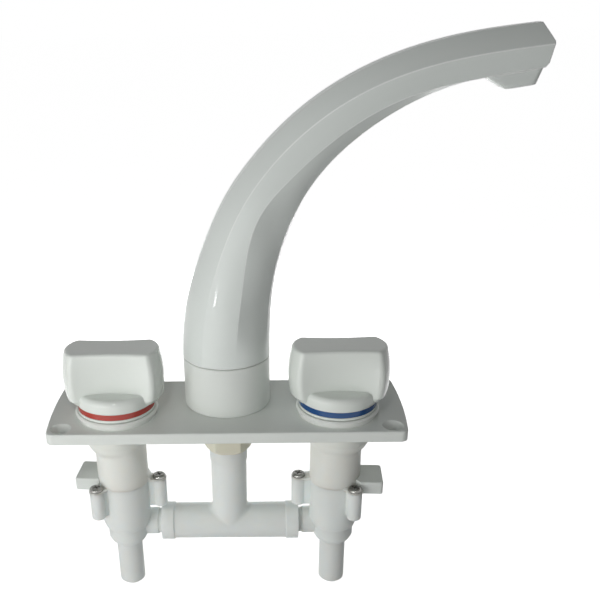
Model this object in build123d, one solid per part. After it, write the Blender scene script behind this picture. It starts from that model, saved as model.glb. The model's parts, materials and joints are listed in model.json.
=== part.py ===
from build123d import *
import os
from math import atan2, cos, degrees, hypot, pi, radians, sin, sqrt

# Twin-lever deck mixer tap in plastic, all sizes in millimetres.
# X runs along the base plate, Y runs to the back, Z is up.
# The origin is the centre of the base plate's underside, on the deck.

# Fits
slide_gap = 0.05
loose_gap = 0.3
running_gap = 0.06

# Base plate
plate_length = 189.0
plate_depth = 64.0
plate_thickness = 6.0
plate_end_bow = 1.8
plate_corner_r = 4.0
plate_edge_r = 0.8
deck_pitch_x = 175.0
deck_pitch_y = 50.0
deck_hole_r = 2.25
deck_sink_r = 5.6
deck_sink_depth = 3.3
stem_boss_r = 14.0
stem_boss_depth = 3.0

# Positions of the three vertical axes and of the tee
valve_pitch = 120.0
valve_line_y = -6.5
tee_line_y = -3.0
spout_axis_y = 8.0

# Spout pedestal with its waterway, stem and swivel post
pedestal_r = 23.6
pedestal_height = 28.2
pedestal_wall = 3.0
pedestal_roof = 3.4
pedestal_edge_r = 0.8
waterway_r = 5.2
waterway_wall = 3.2
crossway_floor_z = 12.0
crossway_height = 10.4
stem_thread_r = 9.5
stem_thread_end_z = -17.2
stem_nose_r = 7.4
stem_nose_end_z = -27.0
post_r = 14.0
post_bore_r = 9.6
post_top_z = 64.4
post_groove_depth = 2.1
post_groove_width = 2.6
post_groove_z = (43.0, 52.0)
clip_groove_depth = 1.4
clip_thickness = 1.2
clip_seat_z = 60.6
clip_r = 16.4
clip_opening = 16.0
clip_opening_depth = 9.0
washer_thickness = 1.8
washer_inner_r = 15.0
washer_outer_r = 20.0

# Swivel spout
groove_gap = 0.6
bush_length = 24.0
bush_r = 20.0
spout_wall = 2.9
spout_edge_r = 0.5
nozzle_tilt = 8.0
nozzle_seat = (135.6, 175.7)
nozzle_seat_length = 26.6
nozzle_seat_width = 19.0
nozzle_mouth_length = 14.8
nozzle_mouth_width = 16.0
nozzle_mouth_shift = 3.0
nozzle_height = 7.0
nozzle_corner_r = 3.0
nozzle_mouth_corner_r = 3.6
nozzle_bore_r = 6.0
nozzle_collar_r = 7.6
nozzle_collar_height = 2.6
straightener_length = 4.0
straightener_wall = 0.8
straightener_rib = 0.7
tip_chin_reach = 1.6
tip_chin_height = 1.7
tip_nose_reach = 3.9
tip_nose_height = 10.7
tip_bevel_reach = 3.6
tip_height = 20.0

# Back nut under the plate and its washer
nut_across_flats = 24.0
nut_height = 12.6
nut_turn = 1.0
nut_bevel = 1.5
nut_bevel_height = 1.8
nut_washer_r = 15.5
nut_washer_thickness = 1.5

# Tee pipe
tee_axis_z = -68.4
tee_pipe_r = 10.4
tee_neck_r = 10.1
tee_bore_r = 6.3
tee_neck_top_z = -17.4
tee_collar_r = 10.6
tee_collar_length = 8.1
tee_collar_edge_r = 0.4
tee_stem_depth = 11.0
tee_half_length = 39.7
tee_socket_r = 11.0
tee_socket_length = 7.2
tee_socket_depth = 12.4
tee_gate_r = 2.0
tee_gate_height = 0.4
tee_join_r = 3.0

# Valve bonnet
thread_r = 13.0
thread_top_z = 9.4
boss_r = 16.8
boss_shift = 1.4
boss_edge_z = -9.6
boss_fullness = 0.3
boss_foot_step = 0.4
boss_foot_r = 3.0
neck_r = 14.2
neck_start_z = -16.5
joint_z = -37.2
ear_thickness = 0.9
ear_r = 4.2
gusset_width = 4.0
gusset_height = {-1: 14.0, 1: 3.5}
gusset_end = 4.2
screw_room = 9.0
upper_bore_r = 10.8
cam_room_r = 8.6
cam_room_gap = 1.5
plate_hole_gap = 0.3

# Ring nut on top of the plate
ring_nut_base_r = 21.5
ring_nut_top_r = 22.5
ring_nut_height = 3.7
ring_nut_edge_r = 0.9

# Valve body
body_bore_r = 11.0
body_r = 13.75
body_shoulder_z = -62.8
hub_r = 11.4
hub_top_z = -66.9
hub_end_z = -73.9
hub_edge = 1.2
tail_r = 7.5
tail_top_z = -78.9
tail_end_z = -107.5
tail_bore_r = 5.2
tail_tip_r = 1.6
seat_z = -62.0
pocket_r = 9.0
pocket_web = 2.4
outlet_rise = 2.0
spigot_boss_r = 7.8
spigot_boss_reach = 18.0
spigot_r = 7.2
spigot_bore_r = 5.2
lug_places = {-1: ((20.1, 0.9), (-13.6, -12.9)), 1: ((20.4, 1.0), (-9.9, -15.4))}
lug_r = 4.0
lug_root = 0.55
lug_web_r = 2.4
lug_end_z = -54.9
lug_edge_r = 1.5
key_width = 2.6
key_depth = 1.0

# Clamp screws
screw_head_r = 3.8
screw_head_height = 1.8
screw_dome_r = 1.3
screw_shank_r = 1.6
screw_length = 16.0
cross_width = 0.9
cross_span = 4.2
cross_depth = 1.0

# Ceramic discs and the rubber below them
disc_r = 10.4
moving_disc_r = 9.8
disc_thickness = 3.5
disc_seal_thickness = 1.7
port_inner_r = 3.0
port_outer_r = 7.5
port_half_angle = 38.0
recess_depth = 2.0

# Spindle, its guide, clip and cam
spindle_r = 4.5
spindle_top_r = 4.0
spindle_step_z = 14.0
spindle_top_z = 34.0
spindle_flat = 3.3
flange_r = 8.5
flange_thickness = 1.9
tongue_width = 2.4
tongue_length = 4.0
tongue_height = 1.8
tongue_offset = 5.4
spindle_groove_depth = 1.2
spindle_groove_width = 1.6
spindle_groove_places = (0.34, 0.68)
spindle_ring_r = 0.58
guide_thickness = 8.0
spindle_clip_r = 7.0
spindle_clip_thickness = 1.0
cam_thickness = 5.0
cam_low_r = 5.4
cam_rise = 1.2
cam_turn = 90.0
cam_overrun = 12.0
cam_flat = 3.7
cam_start = 180.0

# Switch pod beside the valve
pod_reach = 26.3
pod_room_start = 17.4
pod_turn = {-1: -5.0, 1: 3.0}
pod_shift = {-1: 2.0, 1: -2.0}
pod_half_width = 9.7
pod_top_z = -33.2
pod_thickness = 7.2
pod_wall = 1.0
pod_edge_r = 0.8
tunnel_half_width = 4.0
lid_thickness = 0.9
switch_length = 12.8
switch_depth = 5.4
switch_offset = 17.6
plunger_r = 1.4
plunger_tip_r = 0.9
plunger_tip_length = 2.2
plunger_inside = 1.6
well_depth = 3.4
terminal_count = 3
terminal_pitch = 1.7
terminal_width = 1.1
terminal_thickness = 0.5
terminal_length = 6.0

# Knob, colour ring and knob base
knob_top_z = 44.6
knob_foot_z = 15.6
knob_skirt_z = 15.0
knob_shelf_z = 22.0
knob_skirt_r = 21.3
knob_skirt_edge_r = 3.0
knob_half_width = 26.9
knob_corner_half = 21.6
knob_corner_depth = 14.4
knob_scoop = 4.7
knob_corner_r = 3.2
knob_hem_draw = 1.0
knob_tuck = 2.4
knob_tuck_height = 3.2
knob_shoulder_z = 32.0
knob_shoulder_lean = 0.5
knob_shoulder_scoop = 4.0
knob_crown_draw = 2.0
knob_crown_lean = 3.4
knob_crown_scoop = 0.8
knob_top_r = 1.8
knob_wall = 2.4
knob_hub_r = 7.0
knob_hub_end_z = 4.0
knob_room_z = 34.5
colour_ring_r = 20.9
colour_ring_inner_r = 19.0
colour_ring_height = 3.4
knob_base_r = 21.1
knob_base_height = 1.6
knob_base_edge_r = 0.4
knob_base_clip_r = 18.6
knob_base_clip_height = 6.0
knob_base_wall = 1.8

# Derived places
plate_top_z = plate_thickness
pedestal_top_z = plate_top_z + pedestal_height
spout_foot_z = pedestal_top_z + groove_gap
washer_top_z = pedestal_top_z + washer_thickness
bush_foot_z = washer_top_z + loose_gap
bush_top_z = bush_foot_z + bush_length
nut_top_z = -stem_boss_depth - nut_washer_thickness
disc_seal_top_z = seat_z + disc_seal_thickness
fixed_disc_top_z = disc_seal_top_z + disc_thickness
moving_disc_foot_z = fixed_disc_top_z + slide_gap
moving_disc_top_z = moving_disc_foot_z + disc_thickness
flange_foot_z = moving_disc_top_z + slide_gap
flange_top_z = flange_foot_z + flange_thickness
spigot_offset_y = tee_line_y - valve_line_y
spigot_end = valve_pitch / 2 - tee_half_length + tee_socket_depth - loose_gap
ring_foot_z = knob_skirt_z - colour_ring_height
base_top_z = ring_foot_z
base_foot_z = base_top_z - knob_base_height
nose_end_z = flange_top_z + loose_gap
inlet_floor_z = hub_end_z
outlet_floor_z = inlet_floor_z + outlet_rise
switch_low_z = pod_top_z - pod_thickness + lid_thickness + slide_gap
switch_high_z = pod_top_z - pod_wall - slide_gap
plunger_axis_z = (switch_low_z + switch_high_z) / 2
cam_top_z = plunger_axis_z + cam_thickness / 2
cam_room_top_z = cam_top_z + cam_room_gap
cam_room_floor_z = cam_top_z - cam_thickness - cam_room_gap
spindle_groove_z = [cam_room_floor_z + (nose_end_z - cam_room_floor_z) * share for share in spindle_groove_places]
far = 300.0


def rod(radius, low_z, high_z, x=0.0, y=0.0):
    """Upright cylinder between two heights."""
    return Pos(x, y, (low_z + high_z) / 2) * Cylinder(radius, high_z - low_z)


def pipe(outer, inner, low_z, high_z, x=0.0, y=0.0):
    """Upright tube between two heights."""
    return rod(outer, low_z, high_z, x, y) - rod(inner, low_z, high_z, x, y)


def block(x0, x1, y0, y1, z0, z1):
    """Box given by its limits."""
    centre = Pos((x0 + x1) / 2, (y0 + y1) / 2, (z0 + z1) / 2)
    return centre * Box(abs(x1 - x0), abs(y1 - y0), abs(z1 - z0))


def along_x(radius, x0, x1, y, z):
    """Cylinder along X between two places."""
    return Pos((x0 + x1) / 2, y, z) * Rot(0, 90, 0) * Cylinder(radius, abs(x1 - x0))


def stadium(x0, y0, x1, y1, radius, low_z, high_z):
    """Two round ends joined by straight sides, between two heights."""
    span = hypot(x1 - x0, y1 - y0)
    turn = degrees(atan2(y1 - y0, x1 - x0))
    middle = Pos((x0 + x1) / 2, (y0 + y1) / 2, (low_z + high_z) / 2)
    sides = middle * Rot(0, 0, turn) * Box(span, 2 * radius, high_z - low_z)
    return sides + rod(radius, low_z, high_z, x0, y0) + rod(radius, low_z, high_z, x1, y1)


def turned(points):
    """Solid of revolution about Z from radius and height points."""
    corners = [(radius, 0, height) for radius, height in points]
    face = make_face(Polyline(*corners, close=True))
    return revolve(face, Axis.Z, 360)


def sector(inner, outer, middle_angle, half_angle, low_z, high_z):
    """Curved slot between two radii around one direction."""
    start = radians(middle_angle - half_angle)
    end = radians(middle_angle + half_angle)
    mid = radians(middle_angle)
    outer_arc = ThreePointArc(
        (outer * cos(start), outer * sin(start)),
        (outer * cos(mid), outer * sin(mid)),
        (outer * cos(end), outer * sin(end)),
    )
    inner_arc = ThreePointArc(
        (inner * cos(end), inner * sin(end)),
        (inner * cos(mid), inner * sin(mid)),
        (inner * cos(start), inner * sin(start)),
    )
    closing = [Line(outer_arc @ 1, inner_arc @ 0), Line(inner_arc @ 1, outer_arc @ 0)]
    face = make_face([outer_arc, inner_arc] + closing)
    return Pos(0, 0, low_z) * extrude(face, high_z - low_z)


def base_plate():
    half_x = plate_length / 2
    half_y = plate_depth / 2
    front = Line((-half_x, -half_y), (half_x, -half_y))
    right = ThreePointArc((half_x, -half_y), (half_x + plate_end_bow, 0), (half_x, half_y))
    back = Line((half_x, half_y), (-half_x, half_y))
    left = ThreePointArc((-half_x, half_y), (-half_x - plate_end_bow, 0), (-half_x, -half_y))
    outline = make_face([front, right, back, left])
    outline = fillet(outline.vertices(), plate_corner_r)
    plate = extrude(outline, plate_thickness)
    plate = fillet(plate.edges().group_by(Axis.Z)[-1], plate_edge_r)
    plate += rod(stem_boss_r, -stem_boss_depth, 1, 0, tee_line_y)
    plate -= rod(stem_thread_r + plate_hole_gap, -stem_boss_depth, plate_thickness, 0, tee_line_y)
    for side in (-1, 1):
        x = side * valve_pitch / 2
        plate -= rod(thread_r + plate_hole_gap, 0, plate_thickness, x, valve_line_y)
        for row in (-1, 1):
            hole_x = side * deck_pitch_x / 2
            hole_y = row * deck_pitch_y / 2
            plate -= rod(deck_hole_r, 0, plate_thickness, hole_x, hole_y)
            sink_z = plate_thickness - deck_sink_depth / 2
            plate -= Pos(hole_x, hole_y, sink_z) * Cone(deck_hole_r, deck_sink_r, deck_sink_depth)
    return plate


def spout_pedestal():
    y = spout_axis_y
    drum = rod(pedestal_r, plate_top_z, pedestal_top_z, 0, y)
    drum = fillet(drum.edges().group_by(Axis.Z)[0], pedestal_edge_r)
    drum = chamfer(drum.edges().group_by(Axis.Z)[-1], spout_edge_r)
    room_top_z = pedestal_top_z - pedestal_roof
    room = rod(pedestal_r - pedestal_wall, plate_top_z, room_top_z, 0, y)
    tower_r = waterway_r + waterway_wall
    room -= stadium(0, tee_line_y, 0, y, tower_r, plate_top_z, room_top_z)
    room -= rod(stem_thread_r, plate_top_z, crossway_floor_z, 0, tee_line_y)
    room -= rod(post_bore_r + waterway_wall, crossway_floor_z - waterway_wall, room_top_z, 0, y)
    room = room & rod(pedestal_r - pedestal_wall, plate_top_z, room_top_z, 0, y)
    pedestal = drum - room
    pedestal += rod(stem_thread_r, stem_thread_end_z, plate_top_z + 1, 0, tee_line_y)
    pedestal += rod(stem_nose_r, stem_nose_end_z, stem_thread_end_z, 0, tee_line_y)
    pedestal += rod(post_r, pedestal_top_z, post_top_z, 0, y)
    pedestal -= rod(waterway_r, stem_nose_end_z, crossway_floor_z + waterway_r, 0, tee_line_y)
    crossway_top_z = crossway_floor_z + crossway_height
    pedestal -= stadium(0, tee_line_y, 0, y, waterway_r, crossway_floor_z, crossway_top_z)
    pedestal -= rod(post_bore_r, crossway_top_z - waterway_r, post_top_z, 0, y)
    for z in post_groove_z:
        half = post_groove_width / 2
        pedestal -= pipe(post_r + 1, post_r - post_groove_depth, z - half, z + half, 0, y)
    clip_low_z = clip_seat_z - slide_gap
    clip_high_z = clip_seat_z + clip_thickness + slide_gap
    pedestal -= pipe(post_r + 1, post_r - clip_groove_depth, clip_low_z, clip_high_z, 0, y)
    groove_z = (stem_thread_end_z + stem_nose_end_z) / 2
    half = post_groove_width / 2
    nose_groove_r = stem_nose_r - spindle_groove_depth
    pedestal -= pipe(stem_nose_r + 1, nose_groove_r, groove_z - half, groove_z + half, 0, tee_line_y)
    return pedestal


def post_seals():
    ring_r = post_groove_depth / 2
    centre_r = post_r - ring_r + running_gap / 3
    rings = [Pos(0, spout_axis_y, z) * Torus(centre_r, ring_r) for z in post_groove_z]
    return Compound(children=rings)


def swivel_washer():
    low_z = pedestal_top_z
    return pipe(washer_outer_r, washer_inner_r, low_z, washer_top_z, 0, spout_axis_y)


def spout_clip():
    inner = post_r - clip_groove_depth + slide_gap
    high_z = clip_seat_z + clip_thickness
    ring = pipe(clip_r, inner, clip_seat_z, high_z, 0, spout_axis_y)
    mouth_y = spout_axis_y - clip_r
    half = clip_opening / 2
    return ring - block(-half, half, mouth_y - 1, mouth_y + clip_opening_depth, clip_seat_z, high_z)


def centre_backnut():
    low_z = nut_top_z - nut_height
    corner_r = nut_across_flats / 2 / cos(pi / 6)
    hexagon = Pos(0, 0, low_z) * Rot(0, 0, nut_turn) * extrude(RegularPolygon(corner_r, 6), nut_height)
    blank = turned([
        (0, low_z),
        (corner_r - nut_bevel, low_z),
        (corner_r, low_z + nut_bevel_height),
        (corner_r, nut_top_z),
        (0, nut_top_z),
    ])
    nut = Pos(0, tee_line_y, 0) * (hexagon & blank)
    return nut - rod(stem_thread_r + slide_gap, low_z, nut_top_z, 0, tee_line_y)


def backnut_washer():
    low_z = -stem_boss_depth - nut_washer_thickness
    return pipe(nut_washer_r, stem_thread_r + loose_gap, low_z, -stem_boss_depth, 0, tee_line_y)


def stem_seal():
    groove_z = (stem_thread_end_z + stem_nose_end_z) / 2
    ring_r = spindle_groove_depth / 2
    centre_r = stem_nose_r - spindle_groove_depth + ring_r + running_gap / 2
    return Pos(0, tee_line_y, groove_z) * Torus(centre_r, ring_r)


def tee_pipe():
    y = tee_line_y
    tee = along_x(tee_pipe_r, -tee_half_length, tee_half_length, y, tee_axis_z)
    tee += rod(tee_neck_r, tee_axis_z, tee_neck_top_z, 0, y)
    saddle = [
        edge
        for edge in tee.edges()
        if abs(edge.center().X) < tee_pipe_r + 1
        and tee_axis_z - 1 < edge.center().Z < tee_neck_top_z - 5
        and edge.geom_type not in (GeomType.LINE, GeomType.CIRCLE)
    ]
    tee = fillet(saddle, tee_join_r)
    collar_low_z = tee_neck_top_z - tee_collar_length
    collar = rod(tee_collar_r, collar_low_z, tee_neck_top_z, 0, y)
    tee += fillet(collar.edges().group_by(Axis.Z)[0], tee_collar_edge_r)
    for side in (-1, 1):
        outer = side * tee_half_length
        inner = side * (tee_half_length - tee_socket_length)
        tee += along_x(tee_socket_r, inner, outer, y, tee_axis_z)
        floor = side * (tee_half_length - tee_socket_depth)
        tee -= along_x(spigot_r + slide_gap * 2, floor, outer, y, tee_axis_z)
    tee -= along_x(tee_bore_r, -tee_half_length, tee_half_length, y, tee_axis_z)
    stem_floor_z = tee_neck_top_z - tee_stem_depth
    tee -= rod(stem_nose_r + slide_gap * 2, stem_floor_z, tee_neck_top_z, 0, y)
    tee -= rod(tee_bore_r, tee_axis_z, stem_floor_z, 0, y)
    gate_foot_z = tee_axis_z - tee_pipe_r - tee_gate_height
    gate = rod(tee_gate_r, gate_foot_z, tee_axis_z - tee_bore_r - 1, 1.0, y)
    return tee + gate


# Spout stations from foot to tip: reach, height, half height and half width of the section,
# how far it has turned from a circle (0) into a flat-sided bar (1), how full its sides are (1 is
# round), the height of its lower edges in half heights, and how flat its underside's panels are.
spout_stations = [
    (0.0, spout_foot_z, 23.7, 23.7, 0.00, 1.00, -0.24, 0.0),
    (0.3, 45.0, 23.4, 23.4, 0.00, 1.00, -0.24, 0.0),
    (1.0, 54.0, 23.0, 23.0, 0.00, 1.00, -0.24, 0.5),
    (4.2, 73.0, 21.4, 21.3, 0.00, 0.90, -0.22, 0.6),
    (11.8, 98.5, 19.2, 18.8, 0.02, 0.60, -0.06, 0.6),
    (26.8, 126.7, 16.4, 16.2, 0.06, 0.35, -0.12, 0.5),
    (51.4, 152.9, 14.1, 14.0, 0.26, 0.25, -0.40, 0.5),
    (82.0, 171.5, 12.0, 12.8, 0.56, 0.20, -0.60, 0.5),
    (112.4, 181.5, 10.4, 12.4, 0.94, 0.15, -0.90, 0.5),
    (133.0, 184.7, 10.2, 12.4, 0.98, 0.15, -0.93, 0.5),
    (154.2, 187.0, 10.0, 12.4, 1.00, 0.15, -0.95, 0.5),
]
spout_flat_share = 0.27
spout_keel_share = 0.38


def spout_spine():
    points = [(reach, spout_axis_y, height) for reach, height, *_ in spout_stations]
    tip_slope = (cos(radians(nozzle_tilt)), 0, sin(radians(nozzle_tilt)))
    return Spline(*points, tangents=[(0, 0, 1), tip_slope])


def station_plane(spine, station):
    """Plane across the spine, its Y axis towards the outer side of the bend."""
    centre = Vector(station[0], spout_axis_y, station[1])
    along = spine.tangent_at(spine.param_at_point(centre))
    return Plane(origin=centre, x_dir=(0, 1, 0), z_dir=along)


def outer_side(plane):
    """Sign that makes the local Y axis point to the outer side of the bend."""
    return 1.0 if plane.y_dir.Z - plane.y_dir.X > 0 else -1.0


def spout_section(plane, station):
    """Eight-sided section: a narrow top flat, upper and lower sides, two panels and a rounded keel."""
    _, _, half_h, half_w, bar, fullness, edge_share, flatness = station
    up = outer_side(plane)
    flat_w = spout_flat_share * half_w
    flat_h = half_h * (1 - fullness * (1 - cos(spout_flat_share)))
    crease_w = half_w * min(1, 0.866 + 0.25 * bar)
    crease_h = half_h * (0.52 - 0.44 * bar)
    edge_w = half_w * min(0.995 - 0.23 * bar, sqrt(1 - edge_share**2) + 0.5 * bar)
    edge_h = half_h * edge_share
    keel_w = spout_keel_share * half_w
    keel_h = -half_h * (sqrt(1 - spout_keel_share**2) + 0.06 * bar)
    right = [(flat_w, flat_h), (crease_w, crease_h), (edge_w, edge_h), (keel_w, keel_h)]
    corners = right + [(-across, rise) for across, rise in reversed(right)]
    panel = 1 - flatness
    bulges = [fullness, fullness, panel, 1, panel, fullness, fullness, max(fullness, 0.3)]
    edges = []
    for start, end, bulge in zip(corners, corners[1:] + corners[:1], bulges):
        mid_x = (start[0] + end[0]) / 2
        mid_y = (start[1] + end[1]) / 2
        room = 1 / hypot(mid_x / half_w, mid_y / half_h) - 1
        out = 1 + max(bulge * room, 0.004)
        swell = (mid_x * out, up * mid_y * out)
        edges.append(ThreePointArc((start[0], up * start[1]), swell, (end[0], up * end[1])))
    return plane * make_face(edges)


def nozzle_plane():
    reach, height = nozzle_seat
    slope = radians(nozzle_tilt)
    along = (cos(slope), 0, sin(slope))
    up = (-sin(slope), 0, cos(slope))
    return Plane(origin=(reach, spout_axis_y, height), x_dir=along, z_dir=up)


def tip_trim():
    """Block in front of the spout's end: a lower face leaning out to the nose, then a bevel back."""
    seam = nozzle_seat_length / 2
    nose = seam + tip_nose_reach
    top = nose - tip_bevel_reach
    outline = Polyline(
        (seam, 0, -nozzle_height),
        (seam, 0, 0),
        (seam + tip_chin_reach, 0, tip_chin_height),
        (nose, 0, tip_nose_height),
        (top, 0, tip_height),
        (top, 0, far),
        (far, 0, far),
        (far, 0, -nozzle_height),
        close=True,
    )
    return extrude(make_face(outline), pedestal_r, both=True)


def spout_body():
    spine = spout_spine()
    planes = [station_plane(spine, station) for station in spout_stations]
    skin = loft([spout_section(plane, station) for plane, station in zip(planes, spout_stations)])
    hollows = []
    for plane, station in zip(planes, spout_stations):
        hollows.append(plane * Circle(min(station[2], station[3]) - spout_wall))
    seat = nozzle_plane()
    way_end = nozzle_bore_r
    channel = loft(hollows) & (seat * block(-far, way_end, -far, far, -far, far))
    body = skin - channel
    body -= rod(bush_r, spout_foot_z - 1, bush_top_z, 0, spout_axis_y)
    body -= seat * tip_trim()
    seam = nozzle_seat_length / 2
    body -= seat * block(-seam, far, -pedestal_r, pedestal_r, -pedestal_r, 0)
    return body - seat * rod(nozzle_collar_r + slide_gap, 0, nozzle_collar_height + 2)


def spout_bush():
    return pipe(bush_r, post_r + running_gap, bush_foot_z, bush_top_z, 0, spout_axis_y)


def outlet_nozzle():
    top = RectangleRounded(nozzle_seat_length, nozzle_seat_width, nozzle_corner_r)
    mouth = RectangleRounded(nozzle_mouth_length, nozzle_mouth_width, nozzle_mouth_corner_r)
    body = loft([top, Pos(nozzle_mouth_shift, 0, -nozzle_height) * mouth])
    body += rod(nozzle_collar_r, 0, nozzle_collar_height)
    body -= rod(nozzle_bore_r, -nozzle_height - 1, nozzle_collar_height, 0, 0)
    return nozzle_plane() * body


def stream_straightener():
    low_z = -nozzle_height + 1.0
    high_z = low_z + straightener_length
    outer = nozzle_bore_r - slide_gap
    insert = pipe(outer, outer - straightener_wall, low_z, high_z)
    for turn in (0, 60, 120):
        rib = block(-outer + 0.3, outer - 0.3, -straightener_rib / 2, straightener_rib / 2, low_z, high_z)
        insert += Rot(0, 0, turn) * rib
    return nozzle_plane() * insert


# Valve pieces are drawn for the left valve about its own axis, with the outer side at -X.

def boss():
    """Wide collar under the plate that runs down into the neck in one round."""
    neck = neck_r - boss_shift - boss_foot_step
    round_r = boss_r - (boss_r - neck) * boss_fullness
    round_z = boss_edge_z + (neck_start_z - boss_edge_z) / 2
    top = Line((0, 0, 0), (boss_r, 0, 0))
    wall = Line((boss_r, 0, 0), (boss_r, 0, boss_edge_z))
    shoulder = ThreePointArc((boss_r, 0, boss_edge_z), (round_r, 0, round_z), (neck, 0, neck_start_z))
    foot = Line((neck, 0, neck_start_z), (0, 0, neck_start_z))
    core = Line((0, 0, neck_start_z), (0, 0, 0))
    return Pos(-boss_shift, 0, 0) * revolve(make_face([top, wall, shoulder, foot, core]), Axis.Z, 360)


def gusset(side):
    """Hollow-backed rib from the neck down to the inner ear."""
    lug_x, lug_y = lug_places[side][0]
    foot_z = joint_z + ear_thickness
    start = (neck_r - gusset_width / 2, 0, foot_z + gusset_height[side])
    end = (lug_x - gusset_end, 0, foot_z)
    bend = ((start[0] * 2 + end[0]) / 3, 0, (start[2] + end[2] * 2) / 3)
    slope = ThreePointArc(start, bend, end)
    foot = Line(end, (0, 0, foot_z))
    core = Line((0, 0, foot_z), (0, 0, start[2]))
    head = Line((0, 0, start[2]), start)
    rib = extrude(make_face([slope, foot, core, head]), gusset_width, both=True)
    return Rot(0, 0, degrees(atan2(lug_y, lug_x))) * rib


def turn_to_pod(shape, side):
    """Turn a shape drawn along -X about the valve's axis to where its switch pod points."""
    return Rot(0, 0, pod_turn[side]) * shape


def bonnet(side):
    shell = rod(neck_r, joint_z, boss_edge_z) + boss()
    meeting = [edge for edge in shell.edges() if neck_start_z < edge.center().Z < boss_edge_z]
    shell = fillet(meeting, boss_foot_r)
    shell += rod(thread_r, -1, thread_top_z)
    shell += rod(body_bore_r - slide_gap * 2, nose_end_z, joint_z)
    shell += gusset(side)
    pocket_floor_z = joint_z + ear_thickness
    for lug_x, lug_y in lug_places[side]:
        shell += stadium(0, 0, lug_x, lug_y, ear_r, joint_z, pocket_floor_z)
        shell -= rod(screw_head_r + loose_gap, pocket_floor_z, pocket_floor_z + screw_room, lug_x, lug_y)
        shell -= rod(screw_shank_r + loose_gap, joint_z, pocket_floor_z, lug_x, lug_y)
    shell -= rod(upper_bore_r, cam_room_top_z, thread_top_z)
    shell -= rod(cam_room_r, cam_room_floor_z, cam_room_top_z)
    shell -= rod(spindle_r + running_gap, nose_end_z, cam_room_floor_z)
    tunnel_high_z = pod_top_z + slide_gap
    tunnel_low_z = pod_top_z - pod_thickness - slide_gap
    half = tunnel_half_width + slide_gap
    tunnel = block(-pod_reach, -body_bore_r, -half, half, tunnel_low_z, tunnel_high_z)
    tunnel += along_x(plunger_r + running_gap, -body_bore_r - 1, 0, 0, plunger_axis_z)
    shell -= turn_to_pod(tunnel, side)
    half_groove = post_groove_width / 2
    seal_z = (cam_room_floor_z + nose_end_z) / 2
    groove_r = body_bore_r - slide_gap * 2 - spindle_groove_depth
    shell -= pipe(body_bore_r + 1, groove_r, seal_z - half_groove, seal_z + half_groove)
    return shell


def ring_nut():
    rim_z = plate_top_z + ring_nut_height
    flare_z = rim_z - ring_nut_edge_r
    nut = turned([
        (0, plate_top_z),
        (ring_nut_base_r, plate_top_z),
        (ring_nut_top_r, flare_z),
        (ring_nut_top_r - ring_nut_edge_r, rim_z),
        (0, rim_z),
    ])
    return nut - rod(thread_r + slide_gap, plate_top_z, rim_z)


def bonnet_seal():
    ring_r = spindle_groove_depth / 2
    centre_r = body_bore_r - slide_gap * 2 - spindle_groove_depth + ring_r + slide_gap
    return Pos(0, 0, (cam_room_floor_z + nose_end_z) / 2) * Torus(centre_r, ring_r)


def valve_body(side):
    body = turned([
        (0, joint_z),
        (body_r, joint_z),
        (body_r, body_shoulder_z),
        (hub_r + hub_edge, hub_top_z + hub_edge / 2),
        (hub_r, hub_top_z),
        (hub_r, hub_end_z),
        (hub_r - hub_edge, hub_end_z - hub_edge * 2),
        (tail_r, tail_top_z),
        (tail_r, tail_end_z + tail_tip_r),
        (tail_r - tail_tip_r, tail_end_z),
        (0, tail_end_z),
    ])
    y = spigot_offset_y
    body += along_x(spigot_boss_r, 0, spigot_boss_reach, y, tee_axis_z)
    body += along_x(spigot_r, 0, spigot_end, y, tee_axis_z)
    for lug_x, lug_y in lug_places[side]:
        lug = rod(lug_r, lug_end_z, joint_z, lug_x, lug_y)
        lug += stadium(lug_x * lug_root, lug_y * lug_root, lug_x, lug_y, lug_web_r, lug_end_z, joint_z)
        lug = fillet(lug.edges().group_by(Axis.Z)[0], lug_edge_r)
        body += lug
        body -= rod(screw_shank_r + slide_gap, joint_z - screw_length, joint_z, lug_x, lug_y)
    body -= rod(body_bore_r, seat_z, joint_z)
    wide = body_bore_r + 1
    outlet = rod(pocket_r, outlet_floor_z, seat_z) & block(pocket_web / 2, wide, -wide, wide, inlet_floor_z, seat_z)
    inlet = rod(pocket_r, inlet_floor_z, seat_z) & block(-wide, -pocket_web / 2, -wide, wide, inlet_floor_z, seat_z)
    body -= outlet
    body -= inlet
    body -= along_x(spigot_bore_r, pocket_r / 2, spigot_end, y, tee_axis_z)
    body -= rod(tail_bore_r, tail_end_z, inlet_floor_z + pocket_web / 2)
    groove_x = spigot_end - 4
    half = post_groove_width / 2
    groove = along_x(spigot_r + 1, groove_x - half, groove_x + half, y, tee_axis_z)
    groove -= along_x(spigot_r - spindle_groove_depth, groove_x - half, groove_x + half, y, tee_axis_z)
    body -= groove
    for row in (-1, 1):
        edge_y = row * body_bore_r
        key = block(-key_width / 2, key_width / 2, edge_y - row * key_depth, edge_y + row, seat_z, fixed_disc_top_z)
        body += key & rod(body_bore_r + 1, seat_z, fixed_disc_top_z)
    tunnel_low_z = pod_top_z - pod_thickness - slide_gap
    gate = tunnel_half_width + slide_gap
    return body - turn_to_pod(block(-pod_reach, -body_bore_r + 1, -gate, gate, tunnel_low_z, joint_z), side)


def clamp_screws(side):
    screws = []
    seat = joint_z + ear_thickness
    for lug_x, lug_y in lug_places[side]:
        head = rod(screw_head_r, seat, seat + screw_head_height, lug_x, lug_y)
        head = fillet(head.edges().group_by(Axis.Z)[-1], screw_dome_r)
        top_z = seat + screw_head_height
        for turn in (25, 115):
            slot = Rot(0, 0, turn) * Box(cross_span, cross_width, 2 * cross_depth)
            head -= Pos(lug_x, lug_y, top_z) * slot
        shank_end_z = seat - screw_length
        head += rod(screw_shank_r, shank_end_z, seat, lug_x, lug_y)
        screws.append(head)
    return Compound(children=screws)


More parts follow.
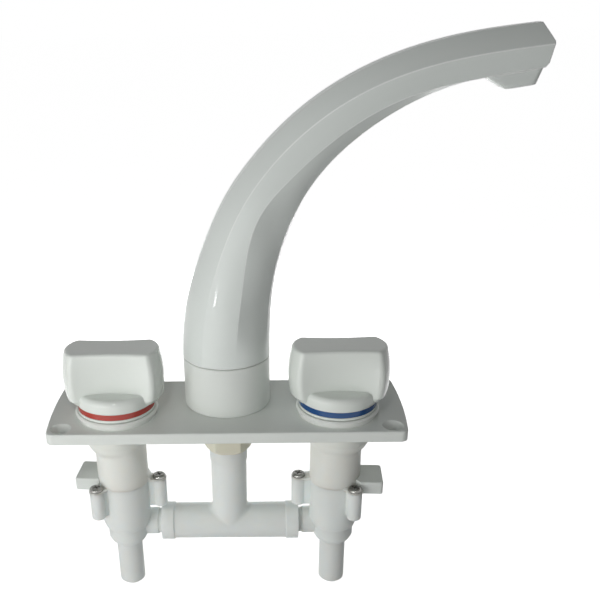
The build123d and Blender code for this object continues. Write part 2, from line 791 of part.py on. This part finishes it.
def spigot_seal():
    ring_r = spindle_groove_depth / 2
    centre_r = spigot_r - spindle_groove_depth + ring_r + slide_gap
    place = Pos(spigot_end - 4, spigot_offset_y, tee_axis_z) * Rot(0, 90, 0)
    return place * Torus(centre_r, ring_r)


def disc_seal():
    seal = rod(disc_r, seat_z, disc_seal_top_z)
    for angle in (0, 180):
        seal -= sector(port_inner_r - 1, port_outer_r + 1, angle, port_half_angle + 6, seat_z, disc_seal_top_z)
    return notch(seal, seat_z, disc_seal_top_z)


def notch(disc, low_z, high_z):
    """Cut the two key notches at the front and back of a disc."""
    half = key_width / 2 + slide_gap * 3
    for row in (-1, 1):
        inner_y = row * (body_bore_r - key_depth - slide_gap * 3)
        disc -= block(-half, half, inner_y, row * (body_bore_r + 1), low_z, high_z)
    return disc


def fixed_disc():
    disc = rod(disc_r, disc_seal_top_z, fixed_disc_top_z)
    for angle in (0, 180):
        disc -= sector(port_inner_r, port_outer_r, angle, port_half_angle, disc_seal_top_z, fixed_disc_top_z)
    return notch(disc, disc_seal_top_z, fixed_disc_top_z)


def moving_disc():
    disc = rod(moving_disc_r, moving_disc_foot_z, moving_disc_top_z)
    recess_top_z = moving_disc_foot_z + recess_depth
    disc -= rod(port_inner_r + 0.2, moving_disc_foot_z, recess_top_z)
    for angle in (90, 270):
        disc -= sector(port_inner_r, port_outer_r, angle, port_half_angle, moving_disc_foot_z, recess_top_z)
    half_w = tongue_width / 2 + slide_gap
    half_l = tongue_length / 2 + slide_gap
    for side in (-1, 1):
        x = side * tongue_offset
        slot_z = moving_disc_top_z - tongue_height - slide_gap
        disc -= block(x - half_l, x + half_l, -half_w, half_w, slot_z, moving_disc_top_z)
    return disc


def spindle():
    shaft = rod(flange_r, flange_foot_z, flange_top_z)
    shaft += rod(spindle_r, flange_top_z, spindle_step_z)
    shaft += rod(spindle_top_r, spindle_step_z, spindle_top_z)
    for side in (-1, 1):
        x = side * tongue_offset
        half_w = tongue_width / 2
        half_l = tongue_length / 2
        shaft += block(x - half_l, x + half_l, -half_w, half_w, flange_foot_z - tongue_height, flange_foot_z)
        shaft -= block(-9, 9, side * spindle_flat, side * 9, spindle_step_z, spindle_top_z)
        shaft -= block(-9, 9, side * cam_flat, side * 9, cam_top_z - cam_thickness, cam_room_top_z)
    half = spindle_groove_width / 2
    for z in spindle_groove_z:
        shaft -= pipe(spindle_r + 1, spindle_r - spindle_groove_depth, z - half, z + half)
    clip_z = cam_room_top_z + guide_thickness + slide_gap
    shaft -= pipe(spindle_r + 1, spindle_r - 0.6, clip_z, clip_z + spindle_clip_thickness + slide_gap)
    return shaft


def spindle_seals():
    centre_r = spindle_r - spindle_groove_depth + spindle_ring_r + slide_gap / 2
    rings = [Pos(0, 0, z) * Torus(centre_r, spindle_ring_r) for z in spindle_groove_z]
    return Compound(children=rings)


def guide_bush():
    high_z = cam_room_top_z + guide_thickness
    return pipe(upper_bore_r - slide_gap, spindle_r + running_gap, cam_room_top_z, high_z)


def spindle_clip():
    low_z = cam_room_top_z + guide_thickness + slide_gap + slide_gap / 2
    ring = pipe(spindle_clip_r, spindle_r - 0.6 + slide_gap, low_z, low_z + spindle_clip_thickness - slide_gap)
    return ring - block(-2.6, 2.6, 0, spindle_clip_r + 1, low_z - 1, low_z + 2)


def switch_cam(side):
    """Disc whose edge rises evenly over a quarter turn and pushes the plunger outwards."""
    low_z = cam_top_z - cam_thickness
    start = cam_start + cam_overrun + pod_turn[side]
    stop = start - cam_turn - 2 * cam_overrun
    slope = cam_rise / cam_turn
    low_r = cam_low_r - slope * cam_overrun
    high_r = cam_low_r + cam_rise + slope * cam_overrun
    count = 8
    points = []
    for index in range(count + 1):
        angle = radians(start + (stop - start) * index / count)
        radius = low_r + (high_r - low_r) * index / count
        points.append((radius * cos(angle), radius * sin(angle)))
    rise = Spline(*points)
    back_angle = radians((start + stop - 360) / 2)
    back_r = (low_r + high_r) / 2
    back = ThreePointArc(rise @ 1, (back_r * cos(back_angle), back_r * sin(back_angle)), rise @ 0)
    cam = Pos(0, 0, low_z) * extrude(make_face([rise, back]), cam_thickness)
    bore = rod(spindle_r + slide_gap, low_z, cam_top_z)
    bore = bore & block(-9, 9, -cam_flat - slide_gap, cam_flat + slide_gap, low_z, cam_top_z)
    return cam - bore


def switch_case(side):
    low_z = pod_top_z - pod_thickness
    shift = pod_shift[side]
    box = block(-pod_reach, 0, shift - pod_half_width, shift + pod_half_width, low_z, pod_top_z)
    box = fillet(box.edges().filter_by(Axis.Z).group_by(Axis.X)[0], pod_edge_r * 2)
    box = fillet(box.edges().group_by(Axis.Z)[-1], pod_edge_r)
    inside = pod_half_width - pod_wall
    room_top_z = pod_top_z - pod_wall
    box -= block(-pod_reach + pod_wall, -pod_room_start, shift - inside, shift + inside, low_z, room_top_z)
    slot_x0 = -switch_offset - loose_gap
    slot_x1 = slot_x0 - terminal_pitch * terminal_count
    slot_half = terminal_thickness / 2 + loose_gap
    slot_low_z = plunger_axis_z - slot_half
    slot_y = shift + inside
    box -= block(slot_x1, slot_x0, slot_y - 1, slot_y + pod_wall + 1, slot_low_z, slot_low_z + 2 * slot_half)
    hollow = rod(neck_r + slide_gap * 2, low_z, pod_top_z)
    hollow += rod(body_r + slide_gap * 2, low_z, pod_top_z)
    for lug_x, lug_y in lug_places[side]:
        hollow += stadium(0, 0, lug_x, lug_y, ear_r + slide_gap, low_z, pod_top_z)
    case = turn_to_pod(box, side) - hollow
    inner_x = -body_bore_r - slide_gap * 2
    tunnel = block(-pod_room_start, inner_x, -tunnel_half_width, tunnel_half_width, low_z, pod_top_z)
    case += turn_to_pod(tunnel, side)
    return case - turn_to_pod(along_x(plunger_r + running_gap, -pod_room_start - 1, 0, 0, plunger_axis_z), side)


def switch_lid(side):
    low_z = pod_top_z - pod_thickness
    gap = slide_gap
    inside = pod_half_width - pod_wall - gap
    x0 = -pod_reach + pod_wall + gap
    x1 = -pod_room_start - gap
    shift = pod_shift[side]
    return turn_to_pod(block(x0, x1, shift - inside, shift + inside, low_z, low_z + lid_thickness), side)


def microswitch():
    x0 = -switch_offset
    x1 = -switch_offset - switch_depth
    half = switch_length / 2
    body = block(x0, x1, -half, half, switch_low_z, switch_high_z)
    body = fillet(body.edges().filter_by(Axis.Z), 0.5)
    return body - along_x(plunger_r + running_gap, x0, x0 - well_depth, 0, plunger_axis_z)


def switch_plunger():
    tip_x = -cam_low_r - running_gap
    stem_x = tip_x - plunger_tip_length
    end_x = -switch_offset - plunger_inside
    stem = along_x(plunger_r, stem_x, end_x, 0, plunger_axis_z)
    tip = along_x(plunger_tip_r, tip_x, stem_x - 0.5, 0, plunger_axis_z)
    tip = fillet(tip.edges().group_by(Axis.X)[-1], plunger_tip_r * 0.8)
    return stem + tip


def switch_terminals():
    blades = []
    y0 = switch_length / 2
    for index in range(terminal_count):
        x = -switch_offset - 0.9 - terminal_pitch * index
        half_x = terminal_width / 2
        half_z = terminal_thickness / 2
        y1 = y0 + terminal_length
        blade = block(x - half_x, x + half_x, y0, y1, plunger_axis_z - half_z, plunger_axis_z + half_z)
        blades.append(blade)
    return Compound(children=blades)


def knob_outline(half_width, corner_half, corner_depth, scoop):
    """Paddle outline seen from above: hollowed front and back, rounded ends and corners."""
    front = ThreePointArc((-corner_half, -corner_depth), (0, scoop - corner_depth), (corner_half, -corner_depth))
    right = ThreePointArc(front @ 1, (half_width, 0), (corner_half, corner_depth))
    back = ThreePointArc(right @ 1, (0, corner_depth - scoop), (-corner_half, corner_depth))
    left = ThreePointArc(back @ 1, (-half_width, 0), front @ 0)
    outline = make_face([front, right, back, left])
    return fillet(outline.vertices(), knob_corner_r)


def knob_section(height, inset, draw, lean, scoop):
    """Paddle outline at a height, drawn in at the ends and leaning back from front and back face."""
    width = knob_half_width - inset - draw
    corner = knob_corner_half - inset - draw
    return Pos(0, 0, height) * knob_outline(width, corner, knob_corner_depth - inset - lean, scoop)


def knob_upper(inset):
    """Solid paddle from its hem to the top, moved in all round by the inset."""
    hem = knob_section(knob_foot_z + knob_tuck_height, inset, knob_hem_draw, 0, knob_scoop)
    shoulder = knob_section(knob_shoulder_z, inset, 0, knob_shoulder_lean, knob_shoulder_scoop)
    crown = knob_section(knob_top_z, inset, knob_crown_draw, knob_crown_lean, knob_crown_scoop)
    return loft([hem, shoulder, crown])


def knob_tucked_foot(inset):
    """Lowest part of the paddle, which draws in towards the coloured ring."""
    foot = knob_section(knob_foot_z, inset, knob_hem_draw + knob_tuck, knob_tuck, knob_scoop)
    hem = knob_section(knob_foot_z + knob_tuck_height, inset, knob_hem_draw, 0, knob_scoop)
    return loft([foot, hem], ruled=True)


def knob():
    grip = knob_upper(0)
    grip = fillet(grip.edges().group_by(Axis.Z)[-1], knob_top_r)
    grip += knob_tucked_foot(0)
    skirt = rod(knob_skirt_r, knob_skirt_z, knob_shelf_z)
    skirt = fillet(skirt.edges().group_by(Axis.Z)[-1], knob_skirt_edge_r)
    grip += skirt
    room = knob_upper(knob_wall) + knob_tucked_foot(knob_wall)
    room &= block(-far, far, -far, far, knob_foot_z, knob_room_z)
    room += rod(knob_base_clip_r, knob_skirt_z, knob_shelf_z - knob_wall)
    grip -= room
    grip += rod(knob_hub_r, knob_hub_end_z, knob_room_z)
    bore = rod(spindle_top_r + slide_gap, spindle_step_z, spindle_top_z + loose_gap)
    flat = spindle_flat + slide_gap
    bore = bore & block(-far, far, -flat, flat, spindle_step_z, spindle_top_z + loose_gap)
    grip -= bore
    return grip - rod(spindle_r + slide_gap, knob_hub_end_z, spindle_step_z)


def colour_ring():
    ring = rod(colour_ring_r, ring_foot_z, knob_skirt_z)
    return ring - rod(colour_ring_inner_r, ring_foot_z, knob_skirt_z)


def knob_base():
    rim = rod(knob_base_r, base_foot_z, base_top_z)
    rim = fillet(rim.edges().group_by(Axis.Z)[0], knob_base_edge_r)
    clip_top_z = base_top_z + knob_base_clip_height
    clip_r = knob_base_clip_r - slide_gap
    base = rim + rod(clip_r, base_top_z, clip_top_z)
    return base - rod(clip_r - knob_base_wall, base_foot_z, clip_top_z)


def place(shape, side):
    """Move a valve piece to the left (-1) or, mirrored, to the right (1) valve."""
    if side > 0:
        shape = mirror(shape, about=Plane.YZ)
    return Pos(side * valve_pitch / 2, valve_line_y, 0) * shape


def save(shape, name):
    export_step(shape, f"parts/{name}.step")


single_pieces = {
    "base_plate": base_plate,
    "spout_pedestal": spout_pedestal,
    "post_seals": post_seals,
    "swivel_washer": swivel_washer,
    "spout_clip": spout_clip,
    "centre_backnut": centre_backnut,
    "backnut_washer": backnut_washer,
    "stem_seal": stem_seal,
    "tee_pipe": tee_pipe,
    "spout_body": spout_body,
    "spout_bush": spout_bush,
    "outlet_nozzle": outlet_nozzle,
    "stream_straightener": stream_straightener,
}

valve_pieces = {
    "knob": knob,
    "colour_ring": colour_ring,
    "knob_base": knob_base,
    "ring_nut": ring_nut,
    "bonnet": bonnet,
    "bonnet_seal": bonnet_seal,
    "guide_bush": guide_bush,
    "spindle": spindle,
    "spindle_clip": spindle_clip,
    "spindle_seals": spindle_seals,
    "switch_cam": switch_cam,
    "moving_disc": moving_disc,
    "fixed_disc": fixed_disc,
    "disc_seal": disc_seal,
    "valve_body": valve_body,
    "spigot_seal": spigot_seal,
    "clamp_screws": clamp_screws,
    "switch_case": switch_case,
    "switch_lid": switch_lid,
    "microswitch": microswitch,
    "switch_plunger": switch_plunger,
    "switch_terminals": switch_terminals,
}

# Pieces that differ a little between the two valves, and pieces that turn with the switch pod
handed = (bonnet, valve_body, clamp_screws, switch_cam, switch_case, switch_lid)
with_pod = (microswitch, switch_plunger, switch_terminals)

os.makedirs("parts", exist_ok=True)

for name, build in single_pieces.items():
    save(build(), name)

for side, label in ((-1, "hot"), (1, "cold")):
    for name, build in valve_pieces.items():
        piece = build(side) if build in handed else build()
        if build in with_pod:
            piece = turn_to_pod(piece, side)
        save(place(piece, side), f"{label}_{name}")
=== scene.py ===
import bpy
import json
from math import cos, radians, sin
from mathutils import Matrix, Vector


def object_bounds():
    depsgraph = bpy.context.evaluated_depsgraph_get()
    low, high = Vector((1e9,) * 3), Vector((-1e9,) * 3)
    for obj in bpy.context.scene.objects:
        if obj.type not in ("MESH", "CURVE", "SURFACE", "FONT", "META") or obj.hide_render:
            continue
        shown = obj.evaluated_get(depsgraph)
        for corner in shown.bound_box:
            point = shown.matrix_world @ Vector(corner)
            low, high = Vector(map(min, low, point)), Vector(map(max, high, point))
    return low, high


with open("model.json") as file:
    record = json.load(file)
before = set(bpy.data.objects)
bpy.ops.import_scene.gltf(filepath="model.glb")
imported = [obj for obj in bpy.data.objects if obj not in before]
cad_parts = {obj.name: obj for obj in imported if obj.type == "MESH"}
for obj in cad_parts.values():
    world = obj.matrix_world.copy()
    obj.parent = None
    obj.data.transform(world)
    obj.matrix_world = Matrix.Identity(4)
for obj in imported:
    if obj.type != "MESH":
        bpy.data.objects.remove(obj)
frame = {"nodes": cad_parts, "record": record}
cad_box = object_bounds()

# Camera: place in millimetres, angles in degrees, lens and centre in the photograph's pixels
image_px = 600
mm_per_metre = 1000
camera_place = Vector((14.8, -402.1, 213.9)) / mm_per_metre
camera_yaw = -1.317
camera_pitch = 26.669
camera_roll = 1.244
focal_px = 818.5
principal_px = (237.2, 395.6)
sensor_width_mm = 36.0

# Floor, in metres
floor_drop = 0.0004
floor_reach = 6.0
floor_colour = (0.8, 0.8, 0.8, 1)
floor_glow = 0.88

# Room light, which grows from the dark side of the world to its bright side
room_bright_side = (-0.45, -0.52, -0.72)
room_bright_level = 0.48
room_dark_level = 0.03
background_level = 1.0
white = (1, 1, 1, 1)

# Lamps: places and sizes in metres, power in watts, spread in degrees
full_spread = 180
lamps = {
    "window": {
        "place": (-0.26, -0.35, -0.02), "target": (-0.01, 0, 0.03),
        "size": (0.42, 0.42), "power": 1.3,
    },
    "flash": {
        "place": (-0.05, -0.40, 0.43), "target": (-0.08, 0, 0.02),
        "size": (0.035, 0.035), "power": 0.049, "spread": 74,
    },
    "glint": {
        "place": (-0.34, -0.46, 0.06), "target": (0, 0, 0.06),
        "size": (0.04, 0.04), "power": 0.26,
    },
    "back_left": {
        "place": (-0.20, 0.56, -0.03), "target": (-0.02, 0, 0.02),
        "size": (0.3, 0.1), "power": 1.2,
    },
    "back_right": {
        "place": (0.24, 0.54, -0.03), "target": (0.02, 0, 0.02),
        "size": (0.3, 0.1), "power": 1.4,
    },
}

# Surface of moulded plastic: widths and depths in metres, noise scales per metre
edge_width = 0.0005
edge_samples = 6
drift_scale = 30.0
drift_detail = 2.0
drift_share = 0.012
smear_scale = 90.0
smear_detail = 5.0
smear_range = (0.88, 1.12)
peel_scale = 420.0
peel_detail = 2.0
peel_strength = 0.06
peel_depth = 0.0003
specular_level = 0.1
coat_roughness = 0.07
milky_radius = (0.006, 0.0068, 0.0075)
milky_scale = 1.0

# Painted highlight along creases: width in metres, and the cosines of the turn at which the painted
# highlight's pale colour starts and is full
crease_highlight_width = 0.0009
crease_highlight_samples = 8
crease_highlight_start = 0.997
crease_highlight_full = 0.982

# Surface of metal
grime_scale = 600.0
grime_detail = 6.0
grime_range = (0.1, 1.5)
metal_gloss_range = (0.7, 1.4)

plastics = {
    "gloss_white": {"colour": (0.73, 0.76, 0.725), "roughness": 0.30, "coat": 0.05},
    "spout_white": {
        "colour": (0.73, 0.77, 0.74), "roughness": 0.33, "coat": 0.2, "edge": 0.0011,
        # the spout's creases get a painted highlight: a pale colour where light would glint on the rounded
        # edge
        "crease_highlight": (0.97, 0.99, 0.97),
    },
    "knob_white": {"colour": (0.75, 0.79, 0.745), "roughness": 0.18, "coat": 0.55, "edge": 0.0008},
    "bezel_white": {"colour": (0.79, 0.81, 0.775), "roughness": 0.26, "coat": 0.1},
    "bonnet_white": {
        "colour": (0.79, 0.805, 0.755), "roughness": 0.42, "milky": 0.6, "edge": 0.0008, "drift": 0.03,
    },
    "valve_white": {
        "colour": (0.78, 0.83, 0.81), "roughness": 0.42, "milky": 0.75, "edge": 0.0009, "drift": 0.03,
    },
    "pipe_white": {"colour": (0.78, 0.82, 0.80), "roughness": 0.40, "milky": 0.75, "edge": 0.0008},
    "switch_white": {"colour": (0.69, 0.72, 0.69), "roughness": 0.5},
    "ivory_nylon": {"colour": (0.72, 0.70, 0.57), "roughness": 0.42, "milky": 0.5},
    "bearing_nylon": {"colour": (0.75, 0.75, 0.68), "roughness": 0.45, "milky": 0.2},
    "spindle_acetal": {"colour": (0.76, 0.76, 0.72), "roughness": 0.4},
    "disc_ceramic": {"colour": (0.82, 0.81, 0.78), "roughness": 0.15},
    "ring_red": {"colour": (0.42, 0.055, 0.04), "roughness": 0.25, "coat": 0.6},
    "ring_blue": {"colour": (0.012, 0.070, 0.22), "roughness": 0.25, "coat": 0.6},
    "seal_rubber": {"colour": (0.02, 0.02, 0.02), "roughness": 0.6},
    "switch_black": {"colour": (0.02, 0.02, 0.022), "roughness": 0.45},
}
metals = {
    "screw_steel": {"colour": (0.33, 0.33, 0.31), "roughness": 0.22},
    "spring_steel": {"colour": (0.55, 0.55, 0.55), "roughness": 0.25},
    "terminal_brass": {"colour": (0.78, 0.66, 0.42), "roughness": 0.3},
}


def make_camera():
    """The photograph's camera, with the lens shifted to the photograph's own centre."""
    yaw = radians(camera_yaw)
    pitch = radians(camera_pitch)
    roll = radians(camera_roll)
    forward = Vector((sin(yaw) * cos(pitch), cos(yaw) * cos(pitch), -sin(pitch)))
    right = forward.cross(Vector((0, 0, 1))).normalized()
    down = forward.cross(right).normalized()
    right_rolled = right * cos(roll) + down * sin(roll)
    down_rolled = down * cos(roll) - right * sin(roll)
    axes = Matrix((right_rolled, -down_rolled, -forward)).transposed()
    data = bpy.data.cameras.new("photo_camera")
    data.sensor_width = sensor_width_mm
    data.lens = focal_px / image_px * data.sensor_width
    data.shift_x = (image_px / 2 - principal_px[0]) / image_px
    data.shift_y = (principal_px[1] - image_px / 2) / image_px
    camera = bpy.data.objects.new("photo_camera", data)
    camera.matrix_world = Matrix.Translation(camera_place) @ axes.to_4x4()
    bpy.context.scene.collection.objects.link(camera)
    bpy.context.scene.camera = camera


def new_material(name):
    """An empty node material, its node tree and its output node."""
    material = bpy.data.materials.new(name)
    material.use_nodes = True
    tree = material.node_tree
    tree.nodes.clear()
    output = tree.nodes.new("ShaderNodeOutputMaterial")
    return material, tree, output


def add_principled(tree, output):
    shader = tree.nodes.new("ShaderNodeBsdfPrincipled")
    tree.links.new(shader.outputs["BSDF"], output.inputs["Surface"])
    return shader


def add_noise(tree, place, scale, detail):
    """Noise that is fixed to the piece and moves with it."""
    noise = tree.nodes.new("ShaderNodeTexNoise")
    noise.inputs["Scale"].default_value = scale
    noise.inputs["Detail"].default_value = detail
    tree.links.new(place.outputs["Object"], noise.inputs["Vector"])
    return noise.outputs["Fac"]


def add_tint(tree, share, colour, low, high):
    """The colour, drifting from low to high times its own value."""
    tint = tree.nodes.new("ShaderNodeMix")
    tint.data_type = "RGBA"
    tint.inputs["A"].default_value = (*[c * low for c in colour], 1)
    tint.inputs["B"].default_value = (*[min(1.0, c * high) for c in colour], 1)
    tree.links.new(share, tint.inputs["Factor"])
    return tint.outputs["Result"]


def add_gloss(tree, share, roughness, limits):
    """The roughness, drifting between the limits times its own value."""
    gloss = tree.nodes.new("ShaderNodeMapRange")
    gloss.inputs["To Min"].default_value = roughness * limits[0]
    gloss.inputs["To Max"].default_value = roughness * limits[1]
    tree.links.new(share, gloss.inputs["Value"])
    return gloss.outputs["Result"]


def add_rounding(tree, width, samples):
    """The surface's normal, rounded over the edges by the width."""
    rounded = tree.nodes.new("ShaderNodeBevel")
    rounded.samples = samples
    rounded.inputs["Radius"].default_value = width
    return rounded.outputs["Normal"]


def add_crease_highlight(tree, base, colour):
    """The base colour, with a painted highlight of the given colour along the surface's creases."""
    rounded = add_rounding(tree, crease_highlight_width, crease_highlight_samples)
    surface = tree.nodes.new("ShaderNodeNewGeometry")
    turn = tree.nodes.new("ShaderNodeVectorMath")
    turn.operation = "DOT_PRODUCT"
    tree.links.new(rounded, turn.inputs[0])
    tree.links.new(surface.outputs["Normal"], turn.inputs[1])
    share = tree.nodes.new("ShaderNodeMapRange")
    share.inputs["From Min"].default_value = crease_highlight_start
    share.inputs["From Max"].default_value = crease_highlight_full
    tree.links.new(turn.outputs["Value"], share.inputs["Value"])
    # painted highlight: the pale colour mixed into the base colour along the creases
    painted_highlight = tree.nodes.new("ShaderNodeMix")
    painted_highlight.data_type = "RGBA"
    painted_highlight.inputs["B"].default_value = (*colour, 1)
    tree.links.new(share.outputs["Result"], painted_highlight.inputs["Factor"])
    tree.links.new(base, painted_highlight.inputs["A"])
    return painted_highlight.outputs["Result"]


def plastic(name, colour, roughness, milky=0.0, coat=0.0, edge=edge_width, drift=drift_share, crease_highlight=None):
    """Moulded plastic: slight colour drift, uneven gloss, a faint orange-peel surface and a painted
    highlight along the creases.
    """
    material, tree, output = new_material(name)
    shader = add_principled(tree, output)
    place = tree.nodes.new("ShaderNodeTexCoord")

    patches = add_noise(tree, place, drift_scale, drift_detail)
    base = add_tint(tree, patches, colour, 1 - drift, 1 + drift)
    # paint a highlight colour along the creases
    if crease_highlight:
        base = add_crease_highlight(tree, base, crease_highlight)
    tree.links.new(base, shader.inputs["Base Color"])

    smears = add_noise(tree, place, smear_scale, smear_detail)
    tree.links.new(add_gloss(tree, smears, roughness, smear_range), shader.inputs["Roughness"])

    bump = tree.nodes.new("ShaderNodeBump")
    bump.inputs["Strength"].default_value = peel_strength
    bump.inputs["Distance"].default_value = peel_depth
    tree.links.new(add_rounding(tree, edge, edge_samples), bump.inputs["Normal"])
    tree.links.new(add_noise(tree, place, peel_scale, peel_detail), bump.inputs["Height"])
    tree.links.new(bump.outputs["Normal"], shader.inputs["Normal"])

    shader.inputs["Specular IOR Level"].default_value = specular_level
    if milky:
        shader.inputs["Subsurface Weight"].default_value = milky
        shader.inputs["Subsurface Radius"].default_value = milky_radius
        shader.inputs["Subsurface Scale"].default_value = milky_scale
    if coat:
        shader.inputs["Coat Weight"].default_value = coat
        shader.inputs["Coat Roughness"].default_value = coat_roughness
    return material


def metal(name, colour, roughness):
    """Dull metal with fine dark grime, rougher where the grime is."""
    material, tree, output = new_material(name)
    shader = add_principled(tree, output)
    shader.inputs["Metallic"].default_value = 1.0
    place = tree.nodes.new("ShaderNodeTexCoord")
    grime = add_noise(tree, place, grime_scale, grime_detail)
    tree.links.new(add_tint(tree, grime, colour, *grime_range), shader.inputs["Base Color"])
    tree.links.new(add_gloss(tree, grime, roughness, metal_gloss_range), shader.inputs["Roughness"])
    return material


def dress_nodes():
    """Each CAD node gets the material of its slot in the record."""
    materials = {slot: plastic(slot, **values) for slot, values in plastics.items()}
    materials.update({slot: metal(slot, **values) for slot, values in metals.items()})
    for part in frame["record"]["subparts"]:
        node = frame["nodes"][part["node"]]
        node.data.materials.clear()
        node.data.materials.append(materials[part["material_slot"]])


def make_lamps():
    """The lamps. Those at the back light the object, but aren't mirrored in it."""
    for name, values in lamps.items():
        data = bpy.data.lights.new(name, "AREA")
        data.shape = "RECTANGLE"
        data.size, data.size_y = values["size"]
        data.energy = values["power"]
        data.spread = radians(values.get("spread", full_spread))
        lamp = bpy.data.objects.new(name, data)
        lamp.location = values["place"]
        aim = Vector(values["target"]) - Vector(values["place"])
        lamp.rotation_euler = aim.to_track_quat("-Z", "Y").to_euler()
        lamp.visible_glossy = not name.startswith("back")
        bpy.context.scene.collection.objects.link(lamp)


def add_larger(tree, first, second):
    larger = tree.nodes.new("ShaderNodeMath")
    larger.operation = "MAXIMUM"
    tree.links.new(first, larger.inputs[0])
    tree.links.new(second, larger.inputs[1])
    return larger.outputs["Value"]


def add_seen_ray(tree):
    """1 for the rays that show the background: straight, mirrored or through glass."""
    rays = tree.nodes.new("ShaderNodeLightPath")
    mirrored = add_larger(tree, rays.outputs["Is Camera Ray"], rays.outputs["Is Glossy Ray"])
    return add_larger(tree, mirrored, rays.outputs["Is Transmission Ray"])


def add_choice(tree, unseen, seen, output):
    """One shader for the rays that light the object, and another for those that show the background."""
    choose = tree.nodes.new("ShaderNodeMixShader")
    tree.links.new(add_seen_ray(tree), choose.inputs["Fac"])
    tree.links.new(unseen, choose.inputs[1])
    tree.links.new(seen, choose.inputs[2])
    tree.links.new(choose.outputs["Shader"], output.inputs["Surface"])


def make_stage():
    """A pale floor just below the object. It is seen as white, and keeps the object's shadow."""
    low, _ = cad_box
    floor_z = low[2] - floor_drop
    mesh = bpy.data.meshes.new("floor")
    corners = [
        (-floor_reach, -floor_reach, floor_z),
        (floor_reach, -floor_reach, floor_z),
        (floor_reach, floor_reach, floor_z),
        (-floor_reach, floor_reach, floor_z),
    ]
    mesh.from_pydata(corners, [], [(0, 1, 2, 3)])
    floor = bpy.data.objects.new("floor", mesh)
    bpy.context.scene.collection.objects.link(floor)
    material, tree, output = new_material("floor_white")
    matte = tree.nodes.new("ShaderNodeBsdfDiffuse")
    matte.inputs["Color"].default_value = floor_colour
    glow = tree.nodes.new("ShaderNodeEmission")
    glow.inputs["Strength"].default_value = floor_glow
    paper = tree.nodes.new("ShaderNodeAddShader")
    tree.links.new(matte.outputs["BSDF"], paper.inputs[0])
    tree.links.new(glow.outputs["Emission"], paper.inputs[1])
    add_choice(tree, matte.outputs["BSDF"], paper.outputs["Shader"], output)
    floor.data.materials.append(material)


def make_world():
    """A room that is brighter on one side, with a white background."""
    world = bpy.data.worlds.new("studio")
    bpy.context.scene.world = world
    world.use_nodes = True
    tree = world.node_tree
    tree.nodes.clear()
    output = tree.nodes.new("ShaderNodeOutputWorld")
    room = tree.nodes.new("ShaderNodeBackground")
    room.inputs["Color"].default_value = white
    heading = tree.nodes.new("ShaderNodeTexCoord")
    facing = tree.nodes.new("ShaderNodeVectorMath")
    facing.operation = "DOT_PRODUCT"
    facing.inputs[1].default_value = room_bright_side
    tree.links.new(heading.outputs["Generated"], facing.inputs[0])
    level = tree.nodes.new("ShaderNodeMapRange")
    level.inputs["From Min"].default_value = -1.0
    level.inputs["From Max"].default_value = 1.0
    level.inputs["To Min"].default_value = room_dark_level
    level.inputs["To Max"].default_value = room_bright_level
    tree.links.new(facing.outputs["Value"], level.inputs["Value"])
    tree.links.new(level.outputs["Result"], room.inputs["Strength"])
    backdrop = tree.nodes.new("ShaderNodeBackground")
    backdrop.inputs["Color"].default_value = white
    backdrop.inputs["Strength"].default_value = background_level
    add_choice(tree, room.outputs["Background"], backdrop.outputs["Background"], output)


make_camera()
make_stage()
make_world()
make_lamps()
dress_nodes()
bpy.context.scene.view_settings.view_transform = "Standard"
